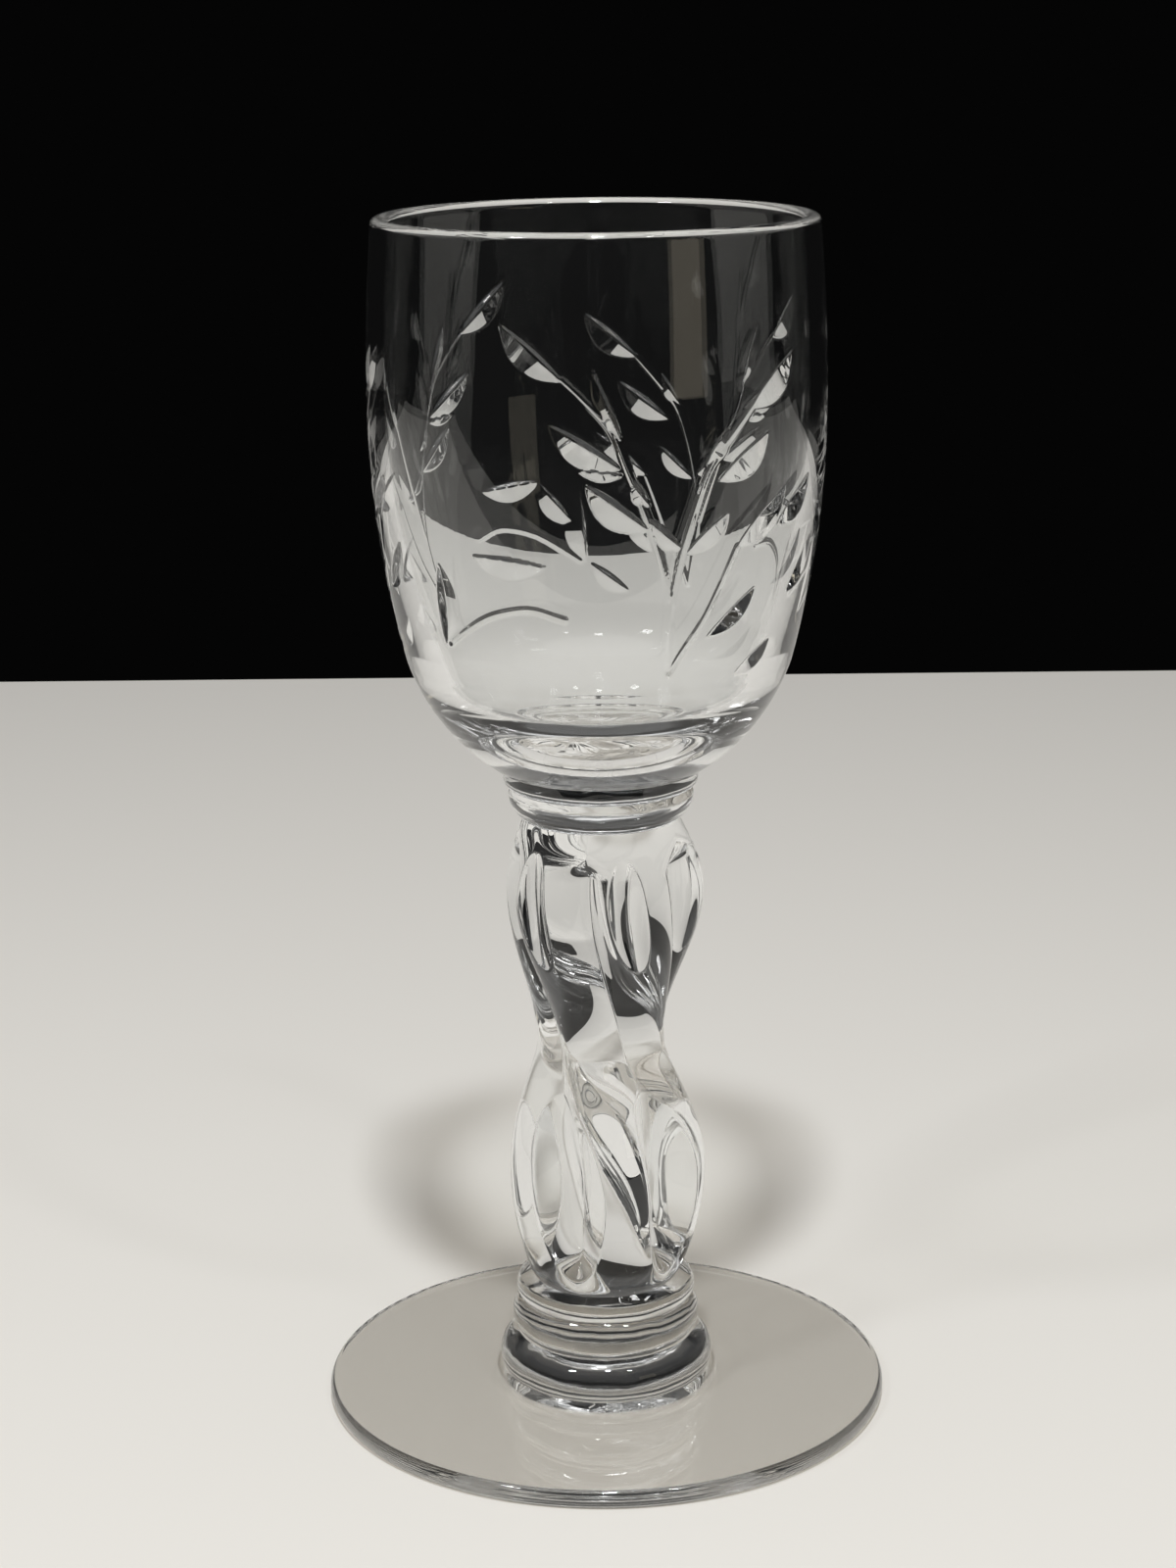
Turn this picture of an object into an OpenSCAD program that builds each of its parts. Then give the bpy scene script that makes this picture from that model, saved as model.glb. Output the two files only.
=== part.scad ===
// Cordial glass: a clear crystal bowl cut with leaf sprays, on a short twisted hourglass stem.
// The glass stands on z = 0, its axis is Z, and every length is in millimetres.
// Each piece is one gather of glass, and the pieces are joined hot on flat, level faces.

/* [Bowl] */
// Radius of the bowl at its rim, over the outside
rim_r = 20; // [19:0.25:21]
// Height of the bowl above the wafer that carries it
bowl_h = 50.4; // [46:0.2:56]
// Thickness of the wall, which is also the width of the rounded lip
bowl_wall = 1.5; // [1.3:0.1:1.8]
// Radius of the flat face where the bowl sits on the upper wafer
bowl_seat_r = 9.4; // [9.1:0.1:9.8]
// Widest radius of the bowl
belly_r = 20.65; // [20.2:0.05:21.4]
// Height of the widest place above the bowl's seat
belly_h = 33; // [29:0.5:37]
// Radius where the rounded base turns up into the wall
hip_r = 17.6; // [17:0.1:18.2]
// Height of that turn above the bowl's seat
hip_h = 10.4; // [9.6:0.1:11.4]
// How far the rounded base stands out from its chord
base_swell = 1.15; // [0.8:0.05:1.4]
// Thickness of the wall at that turn
hip_wall = 2.9; // [2.3:0.1:3.3]
// How far the lower wall stands out from its chord, over the outside
side_swell = 0.75; // [0.5:0.05:1]
// How far the lower wall swells from its chord on the inside
inner_swell = 1; // [0.7:0.05:1.2]
// How far the upper wall stands out from its chord
top_swell = 0.18; // [0.1:0.02:0.3]
// Thickness of the glass under the middle of the bowl
floor_t = 4.2; // [3.4:0.1:5]
// Radius of the shallow well at the bottom of the bowl
well_r = 12; // [11:0.25:13]
// How much the well rises from its middle to its edge
well_dish = 2.4; // [1.8:0.1:2.8]
// How far the corner between well and wall swells outward
well_swell = 0.5; // [0.3:0.05:0.8]

/* [Leaf cuts] */
// Radius of the cutting wheel
wheel_r = 20; // [16:1:26]
// Width of the wheel's pointed edge where it is full
wheel_w = 7; // [6:0.5:9]
// Height of the wheel's pointed edge
wheel_edge = 1.55; // [1.4:0.05:1.8]
// Depth of the largest leaf cut
leaf_depth = 0.6; // [0.5:0.02:0.7]

/* [Upper joint] */
// Radius of the thin wafer under the bowl
upper_wafer_r = 9.05; // [8.8:0.05:9.3]
// Height of the thin wafer
upper_wafer_h = 1.8; // [1.4:0.1:2.4]
// Radius where the wafer meets the collar below it
upper_groove_r = 8.3; // [8:0.05:8.5]
// Radius of the rounded collar under the wafer
upper_collar_r = 8.6; // [8.5:0.05:8.9]
// Height of the rounded collar
upper_collar_h = 2.95; // [2.6:0.05:3.4]

/* [Stem] */
// Height of the stem between its two collars
stem_h = 45.65; // [42:0.25:50]
// Radius at the top of the stem
stem_top_r = 7.2; // [6.9:0.1:7.5]
// Radius of the upper swell
stem_upper_r = 9.6; // [9.3:0.1:9.9]
// Height of the upper swell above the foot of the stem
stem_upper_h = 38.4; // [36:0.2:40]
// Radius of the waist
stem_waist_r = 6.2; // [5.9:0.1:6.8]
// Height of the waist above the foot of the stem
stem_waist_h = 23.7; // [22:0.1:25]
// Radius of the lower swell
stem_lower_r = 9.6; // [9.3:0.1:9.9]
// Height of the lower swell above the foot of the stem
stem_lower_h = 11.4; // [10.6:0.1:12.2]
// Radius at the foot of the stem
stem_foot_r = 6.5; // [6.2:0.1:6.8]
// Number of round strands that are fused side by side into the stem
strand_count = 5; // [4:1:6]
// How far the strands turn about the axis on their way down, in degrees
twist = 60; // [40:5:80]
// Length over which the strands rise out of each round end of the stem
strand_run = 4.4; // [3.6:0.2:5.2]
// Height of the oval eyes cut into the upper swell
eye_h = 11; // [9:0.2:13]
// Width of the eyes
eye_w = 3.6; // [2.8:0.2:4.4]
// Depth of the eyes
eye_depth = 1.3; // [1:0.1:1.6]
// Height of the oval hollows between the strands of the lower swell
hollow_h = 18; // [15:0.5:19]
// Width of the hollows
hollow_w = 7.6; // [6:0.2:8.6]
// Depth of the hollows
hollow_depth = 2.8; // [2.2:0.1:3.2]

/* [Lower joint] */
// Radius of the thin collar under the stem
lower_collar_r = 8.55; // [8.3:0.05:8.8]
// Height of the thin collar
lower_collar_h = 1.9; // [1.6:0.1:2.2]
// Radius where the collar meets the wafer below it
lower_groove_r = 8.2; // [8:0.05:8.3]
// Radius of the rounded wafer under the collar
lower_wafer_r = 8.95; // [8.7:0.05:9.2]
// Height of the rounded wafer
lower_wafer_h = 3.5; // [3.2:0.1:3.8]

/* [Foot] */
// Radius of the button above the foot, near the middle of its height
knop_r = 10.15; // [9.9:0.05:10.4]
// Height of the button
knop_h = 4.1; // [3.8:0.1:4.6]
// Radius where the button meets the wafer above it
knop_top_r = 8.4; // [8.2:0.05:8.6]
// Radius where the button meets the foot
knop_seat_r = 9.5; // [9.2:0.05:9.7]
// Radius of the foot over its rounded edge
foot_r = 26.75; // [25:0.25:29]
// Thickness of the foot at its edge
foot_edge_h = 1.7; // [1.5:0.1:1.9]
// Thickness of the foot under the button
foot_h = 2; // [1.9:0.05:2.4]
// How far the rounded edge of the foot stands out
foot_edge_swell = 0.4; // [0.3:0.05:0.5]

/* [Hidden] */
$fn = 96;

// Levels of the joint faces, counted up from the table
knop_z = foot_h;
lower_wafer_z = knop_z + knop_h;
lower_collar_z = lower_wafer_z + lower_wafer_h;
stem_z = lower_collar_z + lower_collar_h;
upper_collar_z = stem_z + stem_h;
upper_wafer_z = upper_collar_z + upper_collar_h;
bowl_z = upper_wafer_z + upper_wafer_h;

// Number of steps in each arc of a turned outline
arc_steps = 8;
lip_steps = 12;
// Rings up the stem, and points round one strand of it
stem_rings = 60;
strand_points = 16;

// Places on the stem as shares of its height: where the strands stop and start to turn, where they
// stand out least and most, and the middles of the hollows and of the eyes
turn_end_share = 0.2;
turn_start_share = 0.89;
shallow_share = 0.54;
deep_share = 0.82;
hollow_share = 0.24;
eye_share = 0.835;
// Distance of a strand's own middle from the axis as a share of the stem's radius, below and above
lower_strand_share = 0.5;
upper_strand_share = 0.6;
// How full the lower curves of the stem are drawn, as powers
waist_fullness_share = 0.65;
foot_fullness_share = 0.7;
// Height of the upper collar's widest place, and how far its underside swells from its chord
collar_wide_share = 0.8;
collar_round = (upper_collar_r - stem_top_r) / 4;
// Turn of the first strand at the top of the stem, and of each hand-cut eye from the first strand
strand_start = -136;
eye_turns = [0, 60, 118, 190, 262];

// Turn of each hand-cut spray round the bowl, in degrees
spray_turns = [0, 129, 230];
// Each leaf of a spray: its height as a share of the bowl's, its turn from the spray and its lean
// from upright in degrees, and its depth as a share of the largest leaf's
leaf_shares = [
    [0.804, -16, -50, 1.00],
    [0.716, 2, -22, 0.85],
    [0.649, -3, -58, 1.00],
    [0.605, 1, -82, 0.40],
    [0.546, 5, -53, 0.90],
    [0.570, 10, -30, 0.30],
    [0.498, 16, -47, 0.40],
    [0.448, -23, -85, 0.80],
    [0.359, -45, 4, 0.80],
    [0.742, 47, 52, 0.95],
    [0.641, 30, 35, 0.35],
    [0.619, 38, 56, 0.90],
    [0.494, 28, 50, 0.55],
    [0.510, 44, 50, 1.00],
    [0.347, 37, 50, 0.80],
    [0.528, 57, 52, 0.90],
    [0.409, 64, 40, 0.85],
    [0.256, 47, 56, 0.60]
];
// Slope of the wall is read over this share of the bowl's height
slope_share = 0.02;

// Points on the arc from a to b that stands rise proud of its chord
function bow(a, b, rise, steps) =
    let (d = b - a, len = norm(d), along = d / len, out = [along[1], -along[0]])
    let (r = (len * len / 4 + rise * rise) / (2 * rise), half = asin(len / (2 * r)))
    let (centre = (a + b) / 2 - out * (r - rise))
    [for (i = [0 : steps]) let (t = half * (2 * i / steps - 1)) centre + r * (out * cos(t) + along * sin(t))];

// Points a to the last but one, so that joined arcs share their corners once
function but_last(points) = [for (i = [0 : len(points) - 2]) points[i]];

// Outline of a turned piece with a rounded side, from its lower face to its upper face
module bead(low_r, wide_r, top_r, h) {
    swell = wide_r - (low_r + top_r) / 2;
    rotate_extrude() polygon(concat([[0, 0]], bow([low_r, 0], [top_r, h], swell, arc_steps), [[0, h]]));
}

// The bowl's outside, from its seat to the rim, and its inside, from the rim to the middle
lip_z = bowl_h - bowl_wall / 2;
outside = concat(
    but_last(bow([bowl_seat_r, 0], [hip_r, hip_h], base_swell, arc_steps)),
    but_last(bow([hip_r, hip_h], [belly_r, belly_h], side_swell, arc_steps)),
    bow([belly_r, belly_h], [rim_r, lip_z], top_swell, arc_steps));
lip = bow([rim_r, lip_z], [rim_r - bowl_wall, lip_z], bowl_wall / 2, lip_steps);
well_edge = [well_r, floor_t + well_dish];
well_curve_r = (well_r * well_r + well_dish * well_dish) / (2 * well_dish);
well_rise = well_curve_r * (1 - cos(asin(well_r / well_curve_r) / 2));
inside = concat(
    but_last(bow([rim_r - bowl_wall, lip_z], [belly_r - bowl_wall, belly_h], -top_swell, arc_steps)),
    but_last(bow([belly_r - bowl_wall, belly_h], [hip_r - hip_wall, hip_h], -inner_swell, arc_steps)),
    but_last(bow([hip_r - hip_wall, hip_h], well_edge, -well_swell, arc_steps)),
    bow(well_edge, [0, floor_t], -well_rise, arc_steps));

// Radius of the outside at a height above the seat, and the wall's slope there in degrees
wall_table = [for (p = outside) [p[1], p[0]]];
function wall_r(h) = lookup(h, wall_table);
function wall_slope(h) =
    let (step = slope_share * bowl_h)
    atan2(wall_r(h + step) - wall_r(h - step), 2 * step);

// Wheel with a pointed edge, standing on its rim where it touches the wall
module wheel() {
    rotate_extrude() polygon([[wheel_r, 0], [wheel_r - wheel_edge, wheel_w / 2],
                              [0, wheel_w / 2], [0, -wheel_w / 2], [wheel_r - wheel_edge, -wheel_w / 2]]);
}

// One leaf: the wheel sunk into the wall at a height and turn, leaning from upright
module leaf_cut(height, turn, lean, depth) {
    rotate([0, 0, turn - 90])
        translate([wall_r(height), 0, height])
            rotate([0, wall_slope(height), 0])
                rotate([-lean, 0, 0])
                    translate([wheel_r - depth, 0, 0])
                        rotate([90, 0, 0])
                            wheel();
}

module bowl() color([0.87, 0.91, 0.91, 0.4]) translate([0, 0, bowl_z]) difference() {
    rotate_extrude() polygon(concat([[0, 0]], but_last(outside), but_last(lip), inside));
    for (turn = spray_turns, leaf = leaf_shares)
        leaf_cut(leaf[0] * bowl_h, turn + leaf[1], leaf[2], leaf[3] * leaf_depth);
}

module upper_wafer() color([0.85, 0.89, 0.9, 0.5]) translate([0, 0, upper_wafer_z])
    rotate_extrude() polygon(concat([[0, 0]],
        bow([upper_groove_r, 0], [upper_wafer_r, upper_wafer_h / 2], (upper_wafer_r - upper_groove_r) / 4,
            arc_steps),
        [[upper_wafer_r, upper_wafer_h], [0, upper_wafer_h]]));

module upper_collar() color([0.88, 0.91, 0.92, 0.5]) translate([0, 0, upper_collar_z])
    rotate_extrude() polygon(concat([[0, 0]],
        bow([stem_top_r, 0], [upper_collar_r, upper_collar_h * collar_wide_share], collar_round, arc_steps),
        [[upper_groove_r, upper_collar_h], [0, upper_collar_h]]));

// Smooth ramp from 0 to 1
function ease(t) = (1 - cos(180 * min(1, max(0, t)))) / 2;

// Radius over the strands at a height above the stem's foot
function stem_r(h) =
    h > stem_upper_h
    ? stem_top_r + (stem_upper_r - stem_top_r) * cos(90 * (h - stem_upper_h) / (stem_h - stem_upper_h))
    : h > stem_waist_h
    ? stem_waist_r + (stem_upper_r - stem_waist_r) * ease((h - stem_waist_h) / (stem_upper_h - stem_waist_h))
    : h > stem_lower_h
    ? stem_waist_r + (stem_lower_r - stem_waist_r)
        * pow(ease((stem_waist_h - h) / (stem_waist_h - stem_lower_h)), waist_fullness_share)
    : stem_foot_r + (stem_lower_r - stem_foot_r)
        * pow(max(0, cos(90 * (stem_lower_h - h) / stem_lower_h)), foot_fullness_share);

// Turn of the first strand at a share of the stem's height, in degrees
function strand_turn(share) =
    strand_start + twist * ease((turn_start_share - share) / (turn_start_share - turn_end_share));

// Distance of a strand's own middle from the axis at a height above the stem's foot
function strand_middle(h) =
    let (ends = ease(h / strand_run) * ease((stem_h - h) / strand_run))
    let (above = ease((h / stem_h - shallow_share) / (deep_share - shallow_share)))
    stem_r(h) * ends * (lower_strand_share + (upper_strand_share - lower_strand_share) * above);

// Radius of the round strand's surface at a turn from the strand's middle
function strand_r(h, away) =
    let (middle = strand_middle(h), strand = stem_r(h) - middle)
    middle * cos(away) + sqrt(max(0, pow(strand, 2) - pow(middle * sin(away), 2)));

// Depth of a rounded oval cut at a place across and along from its middle
function oval(across, along, w, h, depth) =
    depth * max(0, 1 - pow(2 * across / w, 2) - pow(2 * along / h, 2));

// Depth of the eyes and of the hollows at a height and a turn from the first strand
function eye_cut(h, turn) = max([for (eye = eye_turns)
    let (away = turn - eye - 360 * round((turn - eye) / 360))
    oval(PI * stem_r(h) * away / 180, h - eye_share * stem_h, eye_w, eye_h, eye_depth)]);
function hollow_cut(h, away) =
    oval(PI * stem_r(h) * (180 / strand_count - abs(away)) / 180, h - hollow_share * stem_h,
        hollow_w, hollow_h, hollow_depth);

module stem() color([0.83, 0.87, 0.87, 0.6]) translate([0, 0, stem_z]) {
    round_points = strand_count * strand_points;
    rings = [for (i = [0 : stem_rings])
        let (share = i / stem_rings, h = share * stem_h)
        [for (j = [0 : round_points - 1])
            let (turn = 360 * j / round_points)
            let (away = turn - 360 / strand_count * round(j / strand_points))
            let (r = strand_r(h, away) - eye_cut(h, turn) - hollow_cut(h, away))
            let (a = strand_turn(share) + turn)
            [r * cos(a), r * sin(a), h]]];
    points = [for (ring = rings, p = ring) p];
    sides = [for (i = [0 : stem_rings - 1], j = [0 : round_points - 1])
        let (k = (j + 1) % round_points, low = i * round_points, high = low + round_points)
        each [[low + j, high + k, low + k], [low + j, high + j, high + k]]];
    foot_face = [for (j = [0 : round_points - 1]) j];
    top_face = [for (j = [round_points - 1 : -1 : 0]) stem_rings * round_points + j];
    polyhedron(points, concat(sides, [foot_face], [top_face]));
}

module lower_collar() color([0.85, 0.88, 0.88, 0.5]) translate([0, 0, lower_collar_z])
    bead(lower_groove_r, lower_collar_r, lower_groove_r, lower_collar_h);

module lower_wafer() color([0.86, 0.89, 0.9, 0.5]) translate([0, 0, lower_wafer_z])
    bead(lower_groove_r, lower_wafer_r, lower_groove_r, lower_wafer_h);

module knop() color([0.84, 0.88, 0.88, 0.5]) translate([0, 0, knop_z])
    bead(knop_seat_r, knop_r, knop_top_r, knop_h);

module foot() color([0.87, 0.9, 0.9, 0.4])
    rotate_extrude() polygon(concat([[0, 0]],
        bow([foot_r - foot_edge_swell, 0], [foot_r - foot_edge_swell, foot_edge_h], foot_edge_swell, arc_steps),
        [[knop_seat_r, foot_h], [0, foot_h]]));

bowl();
upper_wafer();
upper_collar();
stem();
lower_collar();
lower_wafer();
knop();
foot();
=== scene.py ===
"""Cordial glass: a clear cut bowl on a twisted hourglass stem, dressed over its fixed frame."""

import logging
import math
from dataclasses import dataclass, field
from typing import Sequence

import bpy
import numpy as np
from mathutils import Matrix, Vector


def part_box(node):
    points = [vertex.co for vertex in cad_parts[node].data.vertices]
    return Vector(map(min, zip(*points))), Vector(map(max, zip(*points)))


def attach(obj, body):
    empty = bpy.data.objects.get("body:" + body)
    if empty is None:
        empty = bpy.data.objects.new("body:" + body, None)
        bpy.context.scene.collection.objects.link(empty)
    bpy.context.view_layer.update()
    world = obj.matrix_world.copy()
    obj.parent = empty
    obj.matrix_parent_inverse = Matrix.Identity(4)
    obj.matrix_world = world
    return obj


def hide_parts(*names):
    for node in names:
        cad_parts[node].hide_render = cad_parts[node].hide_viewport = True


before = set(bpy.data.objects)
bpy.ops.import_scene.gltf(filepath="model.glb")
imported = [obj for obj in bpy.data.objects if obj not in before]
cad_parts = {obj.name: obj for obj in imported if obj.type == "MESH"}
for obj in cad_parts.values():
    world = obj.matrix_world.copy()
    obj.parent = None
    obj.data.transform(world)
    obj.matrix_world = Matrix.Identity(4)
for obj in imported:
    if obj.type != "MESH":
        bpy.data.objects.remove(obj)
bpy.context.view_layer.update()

log = logging.getLogger("cordial_glass")
Rings = np.ndarray

# One millimetre in metres, one whole turn in radians, and a length in millimetres too small to see
MM = 0.001
TURN = 2 * math.pi
TINY = 1e-6

# How finely the glass is made: points round a turned ring, the angle from which its edges stay crisp,
# in degrees, and the steps in a long and in a short arc
RING_POINTS = 512
RING_SHARP = 40.0
ARC_STEPS = 60
SHORT_ARC_STEPS = 40

# How often light may bounce or pass a face, as the glass has many walls behind each other
LIGHT_BOUNCES = 32

# The sRGB curve: a straight foot below a limit, and a shifted power above it
SRGB_LIMIT, SRGB_FOOT, SRGB_SHIFT, SRGB_POWER = 0.04045, 12.92, 0.055, 2.4


def linear(colour: str) -> tuple[float, float, float, float]:
    """Turns an sRGB hex colour into linear light.

    Args:
        colour: Six hex digits after a hash.

    Returns:
        Red, green, blue and an alpha of 1.
    """
    parts = [int(colour[i:i + 2], 16) / 255 for i in (1, 3, 5)]
    red, green, blue = (c / SRGB_FOOT if c <= SRGB_LIMIT else ((c + SRGB_SHIFT) / (1 + SRGB_SHIFT)) ** SRGB_POWER
                        for c in parts)
    return red, green, blue, 1.0


def add(tree: bpy.types.NodeTree, kind: str, inputs: dict | None = None, **settings) -> bpy.types.Node:
    """Adds one node to a tree, with its settings, values and links.

    Args:
        tree: The node tree to add to.
        kind: The node's type name.
        inputs: Socket name or number to a value, or to the output socket to link from.
        settings: Attributes of the node itself.

    Returns:
        The new node.
    """
    node = tree.nodes.new(kind)
    for name, value in settings.items():
        setattr(node, name, value)
    for name, value in (inputs or {}).items():
        if isinstance(value, bpy.types.NodeSocket):
            tree.links.new(value, node.inputs[name])
        else:
            node.inputs[name].default_value = value
    return node


def blank_material(name: str) -> bpy.types.Material:
    """Makes a material with an empty node tree."""
    made = bpy.data.materials.new(name)
    made.use_nodes = True
    made.node_tree.nodes.clear()
    return made


def wrap(turn: np.ndarray) -> np.ndarray:
    """Brings turns in degrees to between -180 and 180."""
    return (turn + 180) % 360 - 180


def soften(rows: np.ndarray) -> None:
    """Averages each row with its two neighbours, in place, and leaves the first and the last."""
    rows[1:-1] = (rows[:-2] + 2 * rows[1:-1] + rows[2:]) / 4


@dataclass(frozen=True)
class LeadCrystal:
    """Lead crystal, fire polished: clear to the core, with the slow ripple of glass worked hot.

    The high index gives bright edges and dark bands, and the ripple bends both a little. Light that
    meets the glass at a slant is turned aside, so its shadow is dark along the walls and pale between.
    The slant is 0 where light meets the glass head on and 1 where it grazes it.
    """

    name: str
    tint: str = "#FBFCFC"
    ior: float = 1.54
    roughness: float = 0.0
    ripple_mm: float = 7.0
    ripple_strength: float = 0.03
    ripple_depth_mm: float = 0.05
    ripple_detail: float = 1.0
    ripple_fade: float = 0.4
    shadow: str = "#EDEBE8"
    slant_shadow: str = "#BAB5AD"
    slant_start: float = 0.5
    slant_full: float = 0.7

    def material(self) -> bpy.types.Material:
        """Builds the finish as nodes."""
        made = blank_material(self.name)
        tree = made.node_tree
        place = add(tree, "ShaderNodeTexCoord").outputs["Object"]
        ripple = add(tree, "ShaderNodeTexNoise", {
            "Vector": place, "Scale": 1 / (self.ripple_mm * MM), "Detail": self.ripple_detail,
            "Roughness": self.ripple_fade})
        bump = add(tree, "ShaderNodeBump", {
            "Height": ripple.outputs["Fac"], "Strength": self.ripple_strength,
            "Distance": self.ripple_depth_mm * MM})
        glass = add(tree, "ShaderNodeBsdfPrincipled", {
            "Base Color": linear(self.tint), "Roughness": self.roughness, "IOR": self.ior,
            "Transmission Weight": 1.0, "Normal": bump.outputs["Normal"]})
        slant = add(tree, "ShaderNodeLayerWeight").outputs["Facing"]
        aside = add(tree, "ShaderNodeMapRange", {
            "Value": slant, "From Min": self.slant_start, "From Max": self.slant_full}).outputs[0]
        cast = add(tree, "ShaderNodeMixRGB", {0: aside, 1: linear(self.shadow), 2: linear(self.slant_shadow)})
        clear = add(tree, "ShaderNodeBsdfTransparent", {"Color": cast.outputs[0]}).outputs[0]
        path = add(tree, "ShaderNodeLightPath").outputs
        bounced = add(tree, "ShaderNodeMixShader", {0: path["Is Diffuse Ray"], 1: glass.outputs[0], 2: clear})
        mix = add(tree, "ShaderNodeMixShader", {0: path["Is Shadow Ray"], 1: bounced.outputs[0], 2: clear})
        add(tree, "ShaderNodeOutputMaterial", {"Surface": mix.outputs[0]})
        return made


@dataclass(frozen=True)
class FusedJoint:
    """The face where two gathers were joined hot: one glass, so there is no surface to see."""

    name: str = "fused_joint"

    def material(self) -> bpy.types.Material:
        """Builds the finish as nodes."""
        made = blank_material(self.name)
        clear = add(made.node_tree, "ShaderNodeBsdfTransparent", {"Color": linear("#FFFFFF")})
        add(made.node_tree, "ShaderNodeOutputMaterial", {"Surface": clear.outputs[0]})
        return made


def bow(a: Sequence[float], b: Sequence[float], rise: float, steps: int = ARC_STEPS) -> np.ndarray:
    """Points on the arc from a to b that stands proud of its chord.

    Args:
        a: First end, as radius and height.
        b: Last end.
        rise: How far the arc's middle stands out from the chord, to the right of the way from a to b.
        steps: Number of steps in the arc.

    Returns:
        An array of steps + 1 points.
    """
    a, b = np.asarray(a, float), np.asarray(b, float)
    length = np.linalg.norm(b - a)
    along = (b - a) / length
    out = np.array([along[1], -along[0]])
    radius = (length ** 2 / 4 + rise ** 2) / (2 * rise)
    half = math.asin(max(-1.0, min(1.0, length / (2 * radius))))
    turn = np.linspace(-half, half, steps + 1)[:, None]
    return (a + b) / 2 - out * (radius - rise) + radius * (out * np.cos(turn) + along * np.sin(turn))


def even(points: np.ndarray, step: float) -> np.ndarray:
    """Spaces points evenly along an outline.

    Args:
        points: The outline.
        step: The wanted distance between points.

    Returns:
        The respaced outline, with the same ends.
    """
    run = np.concatenate([[0], np.cumsum(np.linalg.norm(np.diff(points, axis=0), axis=1))])
    at = np.linspace(0, run[-1], max(2, round(run[-1] / step) + 1))
    return np.stack([np.interp(at, run, points[:, k]) for k in range(2)], 1)


def turned(outline: np.ndarray, count: int) -> Rings:
    """Turns an outline about the axis.

    Args:
        outline: Radius and height of each ring.
        count: Points round each ring.

    Returns:
        Rings of points, as an array of ring, point and coordinate.
    """
    angle = np.arange(count) / count * TURN
    r, z = outline[:, 0, None], outline[:, 1, None]
    return np.stack([r * np.cos(angle), r * np.sin(angle), z + 0 * angle], 2)


def skin(name: str, rings: Rings, fused: Sequence[bool], finish: bpy.types.Material,
         joint: bpy.types.Material, sharp: float) -> bpy.types.Object:
    """Closes rings of points into one solid, from the first ring's middle to the last ring's.

    Args:
        name: The piece's name.
        rings: The rings, in millimetres.
        fused: For the first fan, each band between rings, and the last fan, whether it is a fused joint.
        finish: The material in the open air.
        joint: The material of a fused joint.
        sharp: Edges that turn by more than this many degrees stay crisp.

    Returns:
        The piece.
    """
    count, around = rings.shape[:2]
    ends = np.array([rings[0].mean(0), rings[-1].mean(0)])
    points = np.concatenate([rings.reshape(-1, 3), ends]) * MM
    j = np.arange(around)
    k = (j + 1) % around
    low = (np.arange(count - 1) * around)[:, None]
    quads = np.stack([low + j, low + k, low + around + k, low + around + j], 2).reshape(-1, 4)
    first = np.stack([np.full(around, count * around), k, j], 1)
    last = np.stack([np.full(around, count * around + 1), (count - 1) * around + j,
                     (count - 1) * around + k], 1)
    fans = np.concatenate([first, last])
    mesh = bpy.data.meshes.new(name)
    mesh.vertices.add(len(points))
    mesh.vertices.foreach_set("co", points.ravel())
    corners = np.concatenate([quads.ravel(), fans.ravel()])
    mesh.loops.add(len(corners))
    mesh.loops.foreach_set("vertex_index", corners.astype(np.int32))
    starts = np.concatenate([np.arange(len(quads)) * 4, len(quads) * 4 + np.arange(len(fans)) * 3])
    mesh.polygons.add(len(starts))
    mesh.polygons.foreach_set("loop_start", starts.astype(np.int32))
    flags = np.array(fused, np.int32)
    slots = np.concatenate([np.repeat(flags[1:-1], around), np.repeat(flags[[0, -1]], around)])
    mesh.materials.append(finish)
    mesh.materials.append(joint)
    mesh.polygons.foreach_set("material_index", slots)
    mesh.update(calc_edges=True)
    mesh.validate()
    mesh.shade_smooth()
    mesh.set_sharp_from_angle(angle=math.radians(sharp))
    piece = bpy.data.objects.new(name, mesh)
    bpy.context.scene.collection.objects.link(piece)
    return piece


def dress(piece: bpy.types.Object, node: str) -> bpy.types.Object:
    """Puts a piece on the glass in place of its plain solid.

    Args:
        piece: The new piece.
        node: The solid that it stands for.

    Returns:
        The same piece.
    """
    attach(piece, "root")
    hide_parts(node)
    log.info("%s: %d faces", piece.name, len(piece.data.polygons))
    return piece


def level(node: str, corner: int) -> float:
    """Height of a node's lower face (corner 0) or upper face (corner 1), in millimetres."""
    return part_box(node)[corner][2] / MM


@dataclass
class TurnedGather:
    """A turned ring of glass between two fused faces.

    Its side runs from its lower edge to its upper one. The shoulder holds any more points between the
    upper edge and the upper fused face. All are radius and height in millimetres.
    """

    node: str
    low_fused_r: float
    high_fused_r: float
    side: np.ndarray
    shoulder: tuple[tuple[float, float], ...] = ()
    step: float = 0.1
    least_ledge: float = 0.01

    def build(self, finish: bpy.types.Material, joint: bpy.types.Material, slot: str) -> bpy.types.Object:
        """Builds and dresses the ring.

        Args:
            finish: The glass.
            joint: The fused face.
            slot: The record's material slot; not used.

        Returns:
            The piece.
        """
        (low_r, low), (high_r, high) = self.side[0], self.side[-1]
        start = [] if low_r - self.low_fused_r < self.least_ledge else [(self.low_fused_r, low)]
        end = [] if high_r - self.high_fused_r < self.least_ledge else [(self.high_fused_r, high)]
        outline = np.array([*start, *even(self.side, self.step), *self.shoulder, *end])
        fused = [True] + [False] * (len(outline) - 1) + [True]
        piece = skin(self.node + "_glass", turned(outline, RING_POINTS), fused, finish, joint, RING_SHARP)
        return dress(piece, self.node)


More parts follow.
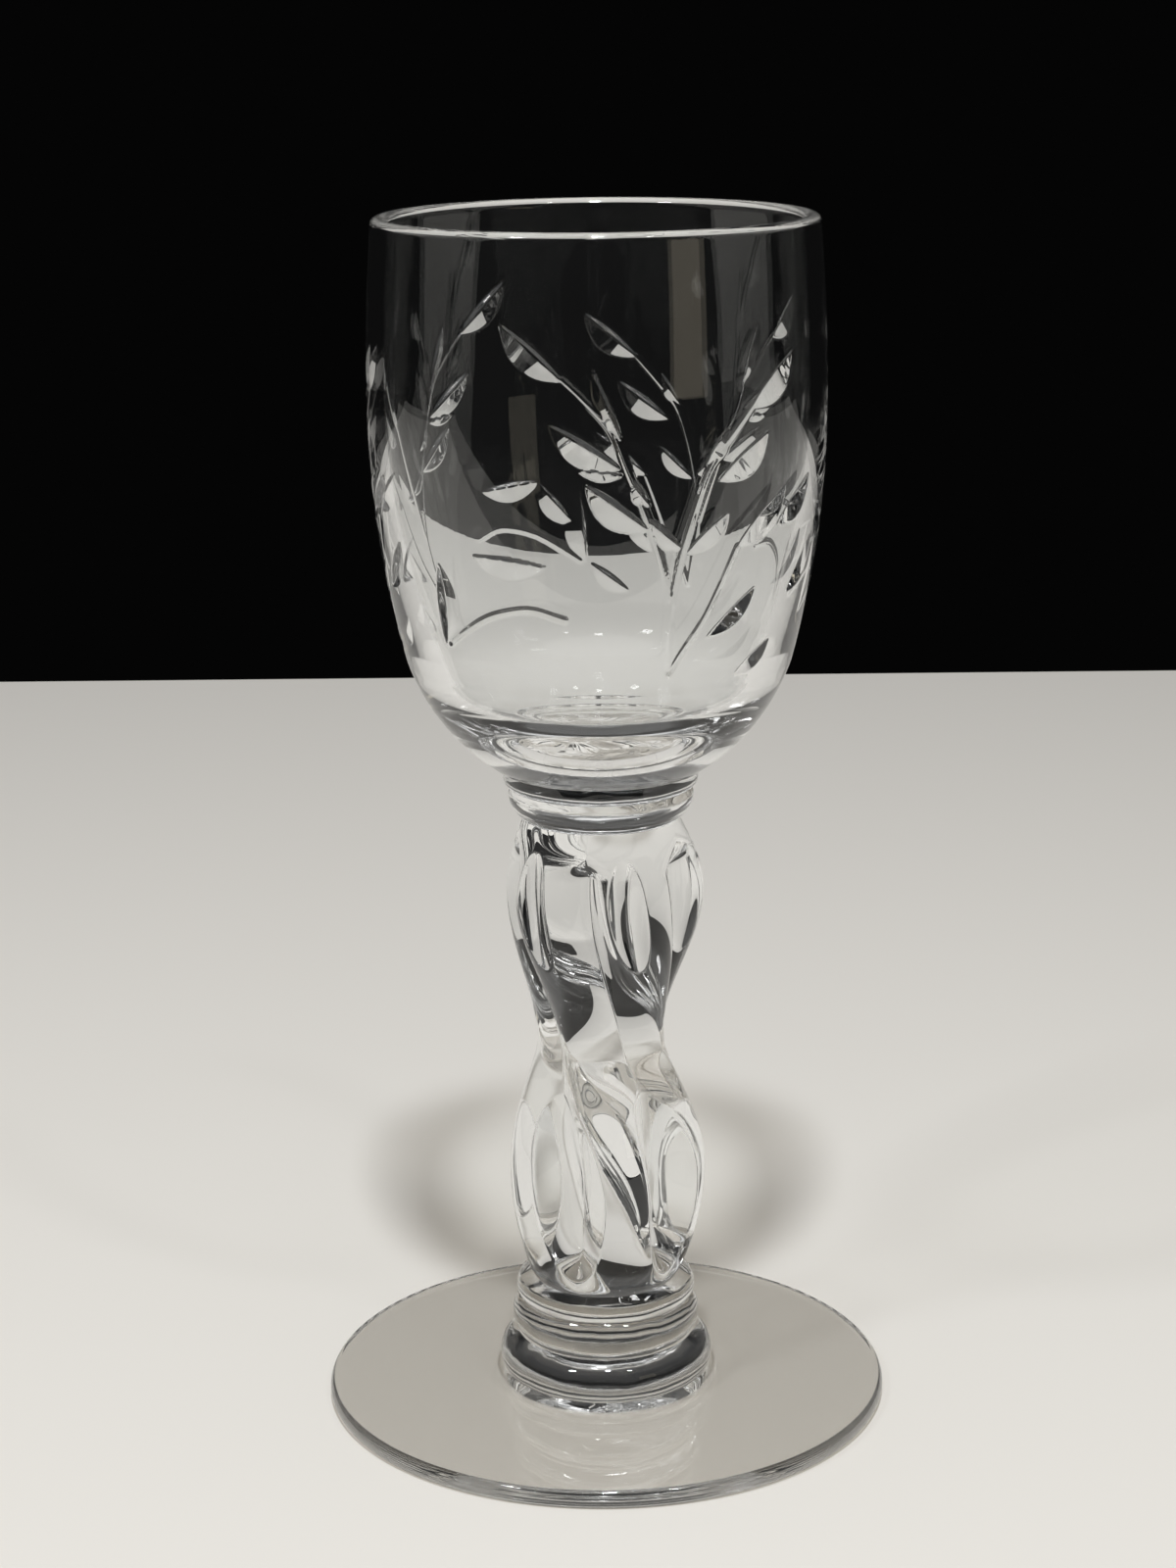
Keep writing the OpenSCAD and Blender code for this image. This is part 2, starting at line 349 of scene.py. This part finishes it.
@dataclass
class Leaf:
    """One leaf cut: a broad lower facet and a steep upper one, meeting in a crease.

    The turn is in degrees from the spray's own middle, and the height in millimetres above the table.
    The lean is in degrees from upright, and the belly is the broad facet's share of the width.
    """

    turn: float
    height: float
    lean: float
    length: float
    width: float = 2.2
    depth: float = 0.6
    belly: float = 0.82


@dataclass
class Stalk:
    """One stalk: a fine cut line through a few places, as turn in degrees and height."""

    places: tuple[tuple[float, float], ...]
    width: float = 0.7
    depth: float = 0.16
    fineness: int = 4
    softenings: int = 3

    def curve(self) -> np.ndarray:
        """The line as many places, with its corners softened."""
        places = np.array(self.places)
        run = np.linspace(0, 1, len(places))
        fine = np.linspace(0, 1, self.fineness * len(places))
        curve = np.stack([np.interp(fine, run, places[:, k]) for k in range(2)], 1)
        for _ in range(self.softenings):
            soften(curve)
        return curve


@dataclass
class Spray:
    """The leaf spray that is cut three times round the bowl, as one hand would cut it."""

    turns: tuple[float, ...] = (0.0, 129.0, 230.0)
    leaves: tuple[Leaf, ...] = (
        Leaf(-15.6, 102.4, -50, 7.3),
        Leaf(2.3, 98.0, -22, 6.9, 1.3),
        Leaf(-3.0, 94.6, -58, 7.2),
        Leaf(0.5, 92.4, -83, 4.0, 0.9, 0.32),
        Leaf(4.5, 89.4, -53, 6.8),
        Leaf(10.2, 90.6, -30, 2.8, 1.2, 0.38),
        Leaf(16.2, 87.0, -47, 4.3, 1.5, 0.46),
        Leaf(-23.0, 84.5, -85, 7.0, 2.0, 0.5),
        Leaf(-45.0, 80.0, 4, 7.6, 2.4, 0.5),
        Leaf(47.0, 99.3, 52, 7.0),
        Leaf(29.6, 94.2, 35, 3.8, 1.3, 0.44),
        Leaf(37.7, 93.1, 56, 6.6),
        Leaf(27.6, 86.8, 50, 5.2, 1.6, 0.5),
        Leaf(44.3, 87.6, 50, 7.4),
        Leaf(36.7, 79.4, 50, 6.4, 1.6),
        Leaf(57.0, 88.5, 52, 6.4, 2.0, 0.54),
        Leaf(64.0, 82.5, 40, 6.2, 2.0, 0.5),
        Leaf(47.0, 74.8, 56, 5.0, 1.6, 0.36),
    )
    stalks: tuple[Stalk, ...] = (
        Stalk(((18.4, 81.0), (15.2, 85.0), (11.6, 88.7), (6.9, 92.6), (3.7, 96.0), (-4.4, 99.1), (-8.2, 100.3))),
        Stalk(((18.9, 81.0), (19.8, 84.0), (22.1, 87.0), (26.8, 92.2), (31.6, 94.2), (39.8, 97.3))),
        Stalk(((19.4, 74.5), (23.0, 76.5), (28.3, 79.0), (36.5, 85.2))),
        Stalk(((18.6, 81.5), (19.0, 74.5))),
        Stalk(((-9.0, 79.5), (-18.0, 80.5), (-30.0, 79.5), (-44.0, 76.5))),
    )


@dataclass
class Bowl:
    """The blown bowl: thick base, fire-polished lip, and the wheel-cut sprays on its outside.

    Heights are from the seat on the upper wafer, in millimetres. A swell is how far the middle of an arc
    stands out from its chord, and a step is the distance between the points of an outline.
    """

    rim_r: float = 20.0
    wall: float = 1.5
    seat_r: float = 9.4
    fused_r: float = 9.05
    belly_r: float = 20.65
    belly_h: float = 33.0
    hip_r: float = 17.6
    hip_h: float = 10.4
    base_swell: float = 1.15
    side_swell: float = 0.75
    top_swell: float = 0.18
    hip_wall: float = 2.9
    inner_swell: float = 1.0
    floor_t: float = 4.2
    well_r: float = 12.0
    well_dish: float = 2.4
    well_swell: float = 0.5
    well_middle_r: float = 0.2
    around: int = 1080
    fine: float = 0.125
    inner_step: float = 0.25
    inner_softenings: int = 60
    lip_steps: int = 24
    sharp: float = 60.0
    spray: Spray = field(default_factory=Spray)

    def lip_h(self) -> float:
        """Height of the middle of the rounded lip above the seat."""
        return level("bowl", 1) - level("bowl", 0) - self.wall / 2

    def outside(self) -> np.ndarray:
        """Radius and height of the outer wall, from the seat to the rim, seat at height 0."""
        arcs = [bow((self.seat_r, 0), (self.hip_r, self.hip_h), self.base_swell)[:-1],
                bow((self.hip_r, self.hip_h), (self.belly_r, self.belly_h), self.side_swell)[:-1],
                bow((self.belly_r, self.belly_h), (self.rim_r, self.lip_h()), self.top_swell)]
        return np.concatenate(arcs)

    def inside(self) -> np.ndarray:
        """Radius and height of the lip and the inner wall, down to the middle of the well.

        The glass was hot when it was shaped, so the arcs of the wall blend into each other.
        """
        lip_h, inner = self.lip_h(), self.rim_r - self.wall
        edge = (self.well_r, self.floor_t + self.well_dish)
        curve = (self.well_r ** 2 + self.well_dish ** 2) / (2 * self.well_dish)
        rise = curve * (1 - math.cos(math.asin(self.well_r / curve) / 2))
        belly, hip = self.belly_r - self.wall, self.hip_r - self.hip_wall
        lip = bow((self.rim_r, lip_h), (inner, lip_h), self.wall / 2, self.lip_steps)[1:-1]
        arcs = [bow((inner, lip_h), (belly, self.belly_h), -self.top_swell, SHORT_ARC_STEPS)[:-1],
                bow((belly, self.belly_h), (hip, self.hip_h), -self.inner_swell)[:-1],
                bow((hip, self.hip_h), edge, -self.well_swell)[:-1],
                bow(edge, (self.well_middle_r, self.floor_t), -rise)]
        wall = even(np.concatenate(arcs), self.inner_step)
        for _ in range(self.inner_softenings):
            soften(wall)
        return np.concatenate([lip, wall])

    def cut_depth(self, angle: np.ndarray, outline: np.ndarray) -> np.ndarray:
        """Depth of the cutting at every point of the outer wall.

        Args:
            angle: Turn of each column from the photographed side, in degrees.
            outline: Radius and height of each row, in millimetres above the table.

        Returns:
            Depth in millimetres, as an array of row and column.
        """
        depth = np.zeros((len(outline), len(angle)))
        height = outline[:, 1, None]
        for turn in self.spray.turns:
            for leaf in self.spray.leaves:
                away = wrap(angle - turn - leaf.turn)
                across = np.radians(away)[None] * outline[:, 0, None]
                self.cut_leaf(depth, leaf, across, height - leaf.height)
            for stalk in self.spray.stalks:
                away = wrap(angle - turn - stalk.places[0][0])
                self.cut_stalk(depth, stalk, away[None], outline)
        return depth

    @staticmethod
    def cut_leaf(depth: np.ndarray, leaf: Leaf, across: np.ndarray, up: np.ndarray) -> None:
        """Cuts one leaf into the depths.

        Args:
            depth: The depths, changed in place.
            leaf: The leaf.
            across: Distance to the right of the leaf's middle.
            up: Distance above the leaf's middle.
        """
        lean = math.radians(leaf.lean)
        tip = across * math.sin(lean) + up * math.cos(lean)
        side = (across * math.cos(lean) - up * math.sin(lean)) * (1 if leaf.lean >= 0 else -1)
        share = np.clip(1 - (tip / (leaf.length / 2)) ** 2, 0, None)
        broad = leaf.width * leaf.belly * share + TINY
        steep = leaf.width * (1 - leaf.belly) * share + TINY
        form = np.where(side > 0, 1 - side / broad, 1 + side / steep)
        np.maximum(depth, leaf.depth * share * np.clip(form, 0, 1), out=depth)

    @staticmethod
    def cut_stalk(depth: np.ndarray, stalk: Stalk, away: np.ndarray, outline: np.ndarray) -> None:
        """Cuts one stalk into the depths.

        Args:
            depth: The depths, changed in place.
            stalk: The stalk.
            away: Turn of each column from the stalk's first place, in degrees.
            outline: Radius and height of each row.
        """
        radius, height = outline[:, 0, None], outline[:, 1, None]
        curve, first_turn = stalk.curve(), stalk.places[0][0]
        x = np.radians(away) * radius
        reach = stalk.width
        near = np.full(depth.shape, reach)
        for (turn_a, low), (turn_b, high) in zip(curve[:-1], curve[1:]):
            rows = (height[:, 0] > min(low, high) - reach) & (height[:, 0] < max(low, high) + reach)
            ax = np.radians(turn_a - first_turn) * radius[rows]
            bx = np.radians(turn_b - first_turn) * radius[rows]
            dx, dy = bx - ax, high - low
            part = np.clip(((x[rows] - ax) * dx + (height[rows] - low) * dy) / (dx ** 2 + dy ** 2), 0, 1)
            gap = np.hypot(x[rows] - ax - part * dx, height[rows] - low - part * dy)
            near[rows] = np.minimum(near[rows], gap)
        form = np.clip(1 - near / (stalk.width / 2), 0, 1)
        np.maximum(depth, stalk.depth * form, out=depth)

    def build(self, finish: bpy.types.Material, joint: bpy.types.Material) -> bpy.types.Object:
        """Builds and dresses the bowl.

        Args:
            finish: The glass.
            joint: The fused face.

        Returns:
            The piece.
        """
        base = level("bowl", 0)
        wall = even(self.outside(), self.fine) + [0, base]
        outer = turned(wall, self.around)
        angle = np.degrees(np.arange(self.around) / self.around * TURN) + 90
        depth = self.cut_depth(angle, wall)
        shrink = 1 - depth / wall[:, 0, None]
        outer[:, :, :2] *= shrink[:, :, None]
        seat = turned(np.array([[self.fused_r, base]]), self.around)
        inner = turned(self.inside() + [0, base], self.around)
        rings = np.concatenate([seat, outer, inner])
        fused = [True] + [False] * len(rings)
        piece = skin("bowl_glass", rings, fused, finish, joint, self.sharp)
        return dress(piece, "bowl")


@dataclass(frozen=True)
class OvalCut:
    """A rounded oval cut: its middle as a share of the stem's height, and its size in millimetres."""

    share: float
    tall: float
    wide: float
    depth: float

    def form(self, across: np.ndarray, along: np.ndarray) -> np.ndarray:
        """Depth of the cut at places across and along from its middle."""
        return self.depth * np.clip(1 - (2 * across / self.wide) ** 2 - (2 * along / self.tall) ** 2, 0, None)


def ease(t: np.ndarray) -> np.ndarray:
    """Smooth ramp from 0 to 1."""
    return (1 - np.cos(np.pi * np.clip(t, 0, 1))) / 2


@dataclass
class Stem:
    """The solid hourglass stem: round strands fused side by side, which twist through the waist.

    Narrow eyes are cut into the upper swell, and wide hollows lie between the strands of the lower one.
    Heights are from the stem's foot, in millimetres, like the radii. A share with turn, shallow or deep
    in its name is of the stem's height, and a strand's share is of the radius there. Turns are in degrees.
    The run is the height over which the strands grow out of each round end.
    """

    top_r: float = 7.2
    upper_r: float = 9.6
    upper_h: float = 38.4
    waist_r: float = 6.2
    waist_h: float = 23.7
    waist_fullness: float = 0.65
    lower_r: float = 9.6
    lower_h: float = 11.4
    foot_r: float = 6.5
    foot_fullness: float = 0.7
    strands: int = 5
    start: float = -136.0
    twist: float = 60.0
    run: float = 4.4
    turn_end_share: float = 0.2
    turn_start_share: float = 0.89
    shallow_share: float = 0.54
    deep_share: float = 0.82
    lower_strand_share: float = 0.5
    upper_strand_share: float = 0.6
    eye: OvalCut = OvalCut(0.835, 11.0, 3.6, 1.3)
    hollow: OvalCut = OvalCut(0.24, 18.0, 7.6, 2.8)
    eye_turns: tuple[float, ...] = (0.0, 60.0, 118.0, 190.0, 262.0)
    around: int = 600
    step: float = 0.1
    softenings: int = 2
    sharp: float = 50.0

    def radius(self, h: np.ndarray, tall: float) -> np.ndarray:
        """Radius over the strands.

        Args:
            h: Heights above the stem's foot.
            tall: The stem's height.

        Returns:
            The radius at each height.
        """
        top = self.top_r + (self.upper_r - self.top_r) * np.cos(
            np.pi / 2 * np.clip((h - self.upper_h) / (tall - self.upper_h), 0, 1))
        upper = self.waist_r + (self.upper_r - self.waist_r) * ease(
            (h - self.waist_h) / (self.upper_h - self.waist_h))
        lower = self.waist_r + (self.lower_r - self.waist_r) * ease(
            (self.waist_h - h) / (self.waist_h - self.lower_h)) ** self.waist_fullness
        foot = self.foot_r + (self.lower_r - self.foot_r) * np.clip(np.cos(
            np.pi / 2 * np.clip((self.lower_h - h) / self.lower_h, 0, 1)), 0, 1) ** self.foot_fullness
        return np.select([h > self.upper_h, h > self.waist_h, h > self.lower_h], [top, upper, lower], foot)

    def form(self, h: np.ndarray, tall: float, turn: np.ndarray) -> np.ndarray:
        """Radius of the finished surface.

        Args:
            h: Heights above the stem's foot.
            tall: The stem's height.
            turn: Turns from the first strand, in degrees.

        Returns:
            The radius at each height and turn.
        """
        pitch = 360 / self.strands
        full = self.radius(h, tall)
        share = h / tall
        above = ease((share - self.shallow_share) / (self.deep_share - self.shallow_share))
        ends = ease(h / self.run) * ease((tall - h) / self.run)
        middle = full * ends * (self.lower_strand_share + (self.upper_strand_share - self.lower_strand_share) * above)
        full, middle = full[:, None], middle[:, None]
        away = turn - pitch * np.round(turn / pitch)
        bend = np.radians(away)
        r = middle * np.cos(bend) + np.sqrt(np.clip((full - middle) ** 2 - (middle * np.sin(bend)) ** 2, 0, None))
        along = h[:, None] - self.eye.share * tall
        eyes = [self.eye.form(np.radians(wrap(turn - eye)) * full, along) for eye in self.eye_turns]
        across = np.radians(pitch / 2 - np.abs(away)) * full
        r = r - np.max(eyes, axis=0) - self.hollow.form(across, h[:, None] - self.hollow.share * tall)
        for _ in range(self.softenings):
            soften(r)
            r = (np.roll(r, 1, 1) + 2 * r + np.roll(r, -1, 1)) / 4
        return r

    def build(self, finish: bpy.types.Material, joint: bpy.types.Material) -> bpy.types.Object:
        """Builds and dresses the stem.

        Args:
            finish: The glass.
            joint: The fused face.

        Returns:
            The piece.
        """
        base, tall = level("stem", 0), level("stem", 1) - level("stem", 0)
        h = np.linspace(0, tall, round(tall / self.step) + 1)
        turn = np.arange(self.around)[None] / self.around * 360
        r = self.form(h, tall, turn)
        down = (self.turn_start_share - h / tall) / (self.turn_start_share - self.turn_end_share)
        angle = np.radians(turn + self.start + self.twist * ease(down)[:, None])
        rings = np.stack([r * np.cos(angle), r * np.sin(angle), base + h[:, None] + 0 * angle], 2)
        fused = [True] + [False] * (len(rings) - 1) + [True]
        piece = skin("stem_glass", rings, fused, finish, joint, self.sharp)
        return dress(piece, "stem")


@dataclass
class Joints:
    """The turned rings above and below the stem, the button and the foot.

    Hot glass creeps up where two gathers join: a shoulder on the lower collar rises against the stem's
    foot, and a hollow fillet on the foot rises against the button.
    """

    upper_wafer_r: float = 9.05
    upper_groove_r: float = 8.3
    upper_collar_r: float = 8.6
    stem_top_r: float = 7.2
    stem_foot_r: float = 6.5
    lower_collar_r: float = 8.55
    lower_groove_r: float = 8.2
    lower_wafer_r: float = 8.95
    knop_top_r: float = 8.4
    knop_r: float = 10.15
    knop_seat_r: float = 9.5
    foot_r: float = 26.75
    foot_edge_h: float = 1.7
    foot_edge_swell: float = 0.4
    shoulder_gap: float = 0.02
    shoulder_rise: float = 0.3
    fillet_r: float = 12.0
    fillet_gap: float = 0.15
    fillet_rise: float = 0.4
    fillet_hollow: float = 0.12
    fillet_steps: int = 16
    swell_share: float = 0.25
    flare_steps: int = 20
    collar_wide_share: float = 0.8
    foot_step: float = 0.2

    @staticmethod
    def span(node: str) -> tuple[float, float]:
        """Heights of a node's lower and upper faces."""
        return level(node, 0), level(node, 1)

    def ring(self, node: str, low_r: float, wide_r: float, high_r: float) -> np.ndarray:
        """Side of a rounded ring, from its lower face to its upper face."""
        low, high = self.span(node)
        return bow((low_r, low), (high_r, high), wide_r - (low_r + high_r) / 2)

    def flare(self) -> np.ndarray:
        """Side of the upper wafer, which widens up to the bowl."""
        low, high = self.span("upper_wafer")
        swell = (self.upper_wafer_r - self.upper_groove_r) * self.swell_share
        under = bow((self.upper_groove_r, low), (self.upper_wafer_r, (low + high) / 2), swell, self.flare_steps)
        return np.concatenate([under, [[self.upper_wafer_r, high]]])

    def cap(self) -> np.ndarray:
        """Side of the upper collar, which widens up to a rounded edge below its groove."""
        low, high = self.span("upper_collar")
        wide = (self.upper_collar_r, low + (high - low) * self.collar_wide_share)
        swell = (self.upper_collar_r - self.stem_top_r) * self.swell_share
        under = bow((self.stem_top_r, low), wide, swell, SHORT_ARC_STEPS)
        return np.concatenate([under, [[self.upper_groove_r, high]]])

    def plate(self) -> np.ndarray:
        """Side and top of the foot, from the table round the edge and up the fillet at the button."""
        low, high = self.span("foot")
        rim = self.foot_r - self.foot_edge_swell
        edge = bow((rim, low), (rim, low + self.foot_edge_h), self.foot_edge_swell, SHORT_ARC_STEPS)
        drop = (self.fillet_r - self.knop_seat_r) * (high - low - self.foot_edge_h) / (rim - self.knop_seat_r)
        fillet = bow((self.fillet_r, high - drop), (self.knop_seat_r + self.fillet_gap, high + self.fillet_rise),
                     -self.fillet_hollow, self.fillet_steps)
        return np.concatenate([edge, fillet, [[self.knop_seat_r, high]]])

    def build(self, finish: bpy.types.Material, joint: bpy.types.Material,
              foot_finish: bpy.types.Material) -> list[bpy.types.Object]:
        """Builds and dresses the rings, the button and the foot.

        Args:
            finish: The glass of the rings and the button.
            joint: The fused face.
            foot_finish: The glass of the foot.

        Returns:
            The pieces.
        """
        groove, low_groove = self.upper_groove_r, self.lower_groove_r
        thin = self.ring("lower_collar", low_groove, self.lower_collar_r, low_groove)
        bead = self.ring("lower_wafer", low_groove, self.lower_wafer_r, low_groove)
        knop = self.ring("knop", self.knop_seat_r, self.knop_r, self.knop_top_r)
        shoulder = (self.stem_foot_r + self.shoulder_gap, level("lower_collar", 1) + self.shoulder_rise)
        gathers = [
            TurnedGather("upper_wafer", groove, self.upper_wafer_r, self.flare()),
            TurnedGather("upper_collar", self.stem_top_r, groove, self.cap()),
            TurnedGather("lower_collar", low_groove, self.stem_foot_r, thin, (shoulder,)),
            TurnedGather("lower_wafer", low_groove, low_groove, bead),
            TurnedGather("knop", self.knop_seat_r, low_groove, knop),
        ]
        pieces = [gather.build(finish, joint, "stem_glass") for gather in gathers]
        pieces.append(self.foot(foot_finish, joint))
        return pieces

    def foot(self, finish: bpy.types.Material, joint: bpy.types.Material) -> bpy.types.Object:
        """Builds and dresses the foot, whose underside is open to the table."""
        outline = np.array([(self.knop_seat_r, level("foot", 0)), *even(self.plate(), self.foot_step)])
        fused = [False] * len(outline) + [True]
        piece = skin("foot_glass", turned(outline, RING_POINTS), fused, finish, joint, RING_SHARP)
        return dress(piece, "foot")


@dataclass(frozen=True)
class Tabletop:
    """A plain matt tabletop, which ends behind the glass with the dark room beyond it."""

    colour: str = "#DDDAD4"
    half_mm: float = 700.0
    back_mm: float = 311.0
    front_mm: float = 160.0
    drop_mm: float = 0.02
    roughness: float = 0.6
    gloss: float = 0.2

    def build(self) -> bpy.types.Object:
        """Builds the tabletop as a stage piece."""
        half, back, front = self.half_mm * MM, self.back_mm * MM, -self.front_mm * MM
        corners = [(-half, front, 0), (half, front, 0), (half, back, 0), (-half, back, 0)]
        mesh = bpy.data.meshes.new("tabletop")
        mesh.from_pydata(corners, [], [(0, 1, 2, 3)])
        top = bpy.data.objects.new("tabletop", mesh)
        bpy.context.scene.collection.objects.link(top)
        made = blank_material("matt_tabletop")
        matt = add(made.node_tree, "ShaderNodeBsdfPrincipled", {
            "Base Color": linear(self.colour), "Roughness": self.roughness, "Specular IOR Level": self.gloss})
        add(made.node_tree, "ShaderNodeOutputMaterial", {"Surface": matt.outputs[0]})
        mesh.materials.append(made)
        top.location.z = -self.drop_mm * MM
        return top


@dataclass(frozen=True)
class Room:
    """Soft light in a room with a dark screen behind the glass.

    Each table of levels gives how bright the room is at shares of the way from straight down (0)
    past level (0.5) to straight up (1). The two sides of the room blend over a narrow share beside the glass.
    """

    dark: str = "#050505"
    blend: float = 0.2
    behind: tuple[tuple[float, float], ...] = ((0.5, 0.004), (0.53, 0.01), (0.56, 0.05), (0.7, 0.05),
                                               (0.78, 0.01), (0.92, 0.01), (0.96, 0.9))
    before: tuple[tuple[float, float], ...] = ((0.3, 0.02), (0.5, 0.02), (0.62, 0.05), (0.76, 0.05),
                                               (0.8, 0.01), (0.92, 0.01), (0.96, 0.9))

    @staticmethod
    def ramp(tree: bpy.types.NodeTree, rise: bpy.types.NodeSocket,
             levels: tuple[tuple[float, float], ...]) -> bpy.types.NodeSocket:
        """Adds a ramp of light over the share of the way up.

        Args:
            tree: The world's node tree.
            rise: The share of the way up.
            levels: Places and light of the stops.

        Returns:
            The ramp's colour.
        """
        node = add(tree, "ShaderNodeValToRGB", {0: rise})
        stops = node.color_ramp.elements
        for place, _ in levels[1:-1]:
            stops.new(place)
        for stop, (place, light) in zip(stops, levels):
            stop.position, stop.color = place, (light, light, light, 1)
        return node.outputs[0]

    def build(self) -> None:
        """Sets up the world."""
        world = bpy.data.worlds.new("room")
        bpy.context.scene.world = world
        world.use_nodes = True
        tree = world.node_tree
        tree.nodes.clear()
        way = add(tree, "ShaderNodeSeparateXYZ", {0: add(tree, "ShaderNodeTexCoord").outputs["Generated"]}).outputs
        # The way's height runs from -1 to 1, and a ramp takes 0 to 1
        rise = add(tree, "ShaderNodeMath", {0: way["Z"], 1: 0.5, 2: 0.5}, operation="MULTIPLY_ADD").outputs[0]
        back = add(tree, "ShaderNodeMapRange", {
            "Value": way["Y"], "From Min": -self.blend, "From Max": self.blend}).outputs[0]
        both = add(tree, "ShaderNodeMixRGB", {0: back, 1: self.ramp(tree, rise, self.before),
                                              2: self.ramp(tree, rise, self.behind)})
        camera = add(tree, "ShaderNodeLightPath").outputs["Is Camera Ray"]
        seen = add(tree, "ShaderNodeBackground", {"Color": linear(self.dark)})
        lit = add(tree, "ShaderNodeBackground", {"Color": both.outputs[0], "Strength": 1.0})
        mix = add(tree, "ShaderNodeMixShader", {0: camera, 1: lit.outputs[0], 2: seen.outputs[0]})
        add(tree, "ShaderNodeOutputWorld", {"Surface": mix.outputs[0]})


@dataclass(frozen=True)
class Lamp:
    """One soft rectangular lamp, aimed at a point of the glass, with its places and sizes in metres."""

    name: str
    place: tuple[float, float, float]
    width: float
    height: float
    watts: float
    aim: tuple[float, float, float] = (0.0, 0.0, 0.06)
    colour: str = "#FFFFFF"

    def build(self) -> bpy.types.Object:
        """Builds the lamp."""
        data = bpy.data.lights.new(self.name, "AREA")
        data.shape, data.size, data.size_y, data.energy = "RECTANGLE", self.width, self.height, self.watts
        data.color = linear(self.colour)[:3]
        lamp = bpy.data.objects.new(self.name, data)
        lamp.location = self.place
        way = Vector(self.aim) - Vector(self.place)
        lamp.rotation_euler = way.to_track_quat("-Z", "Y").to_euler()
        lamp.visible_camera = False
        bpy.context.scene.collection.objects.link(lamp)
        return lamp


@dataclass(frozen=True)
class Camera:
    """The photograph's camera, as fitted to the circles of the rim and the foot."""

    away_mm: float = 286.89
    height_mm: float = 135.26
    pitch: float = 14.678
    roll: float = -0.612
    yaw: float = -0.236
    focal_px: float = 3266.0
    tall_px: float = 1600.0
    sensor_mm: float = 36.0
    nearest_m: float = 0.01

    def build(self) -> bpy.types.Object:
        """Builds the camera and makes it the scene's."""
        data = bpy.data.cameras.new("camera")
        data.sensor_width = self.sensor_mm
        data.lens = self.focal_px * self.sensor_mm / self.tall_px
        data.clip_start = self.nearest_m
        camera = bpy.data.objects.new("camera", data)
        pitch, roll, yaw = (math.radians(a) for a in (self.pitch, self.roll, self.yaw))
        ahead = Vector((math.sin(yaw) * math.cos(pitch), math.cos(yaw) * math.cos(pitch), -math.sin(pitch)))
        right = Vector((math.cos(yaw), -math.sin(yaw), 0))
        up = right.cross(ahead)
        across = right * math.cos(roll) + up * math.sin(roll)
        above = up * math.cos(roll) - right * math.sin(roll)
        turn = Matrix((across, above, -ahead)).transposed().to_4x4()
        camera.matrix_world = Matrix.Translation((0, -self.away_mm * MM, self.height_mm * MM)) @ turn
        bpy.context.scene.collection.objects.link(camera)
        bpy.context.scene.camera = camera
        return camera


def main() -> None:
    """Builds the stage, the light, the camera and every piece of the glass."""
    logging.basicConfig(level=logging.INFO, format="%(message)s")
    scene = bpy.context.scene
    scene.view_settings.view_transform = "Standard"
    for limit in ("max_bounces", "transmission_bounces", "transparent_max_bounces", "glossy_bounces"):
        setattr(scene.cycles, limit, LIGHT_BOUNCES)
    Camera().build()
    Tabletop().build()
    Room().build()
    lamps = [
        Lamp("front_lamp", place=(0.005, -0.37, 0.75), width=0.06, height=0.06, watts=5.3),
        Lamp("right_lamp", place=(0.3, -0.42, 0.75), width=0.05, height=0.05, watts=0.5),
        Lamp("left_lamp", place=(-0.44, -0.38, 0.72), width=0.1, height=0.1, watts=1.5),
        Lamp("side_window", place=(0.225, -0.224, 0.1), width=0.095, height=0.07, watts=0.012,
             aim=(0.008, -0.019, 0.104), colour="#FFF4DC"),
    ]
    for lamp in lamps:
        lamp.build()
    bowl_glass = LeadCrystal("blown_lead_crystal", shadow="#FAFAF9").material()
    stem_glass = LeadCrystal("pressed_lead_crystal", shadow="#F4F3F1", ripple_strength=0.06).material()
    ring_glass = LeadCrystal("tooled_lead_crystal", shadow="#F4F3F1", ripple_mm=3.5, ripple_strength=0.8,
                             ripple_depth_mm=0.2).material()
    foot_glass = LeadCrystal("spun_lead_crystal").material()
    joint = FusedJoint().material()
    Bowl().build(bowl_glass, joint)
    Stem().build(stem_glass, joint)
    Joints().build(ring_glass, joint, foot_glass)


if __name__ == "__main__":
    main()
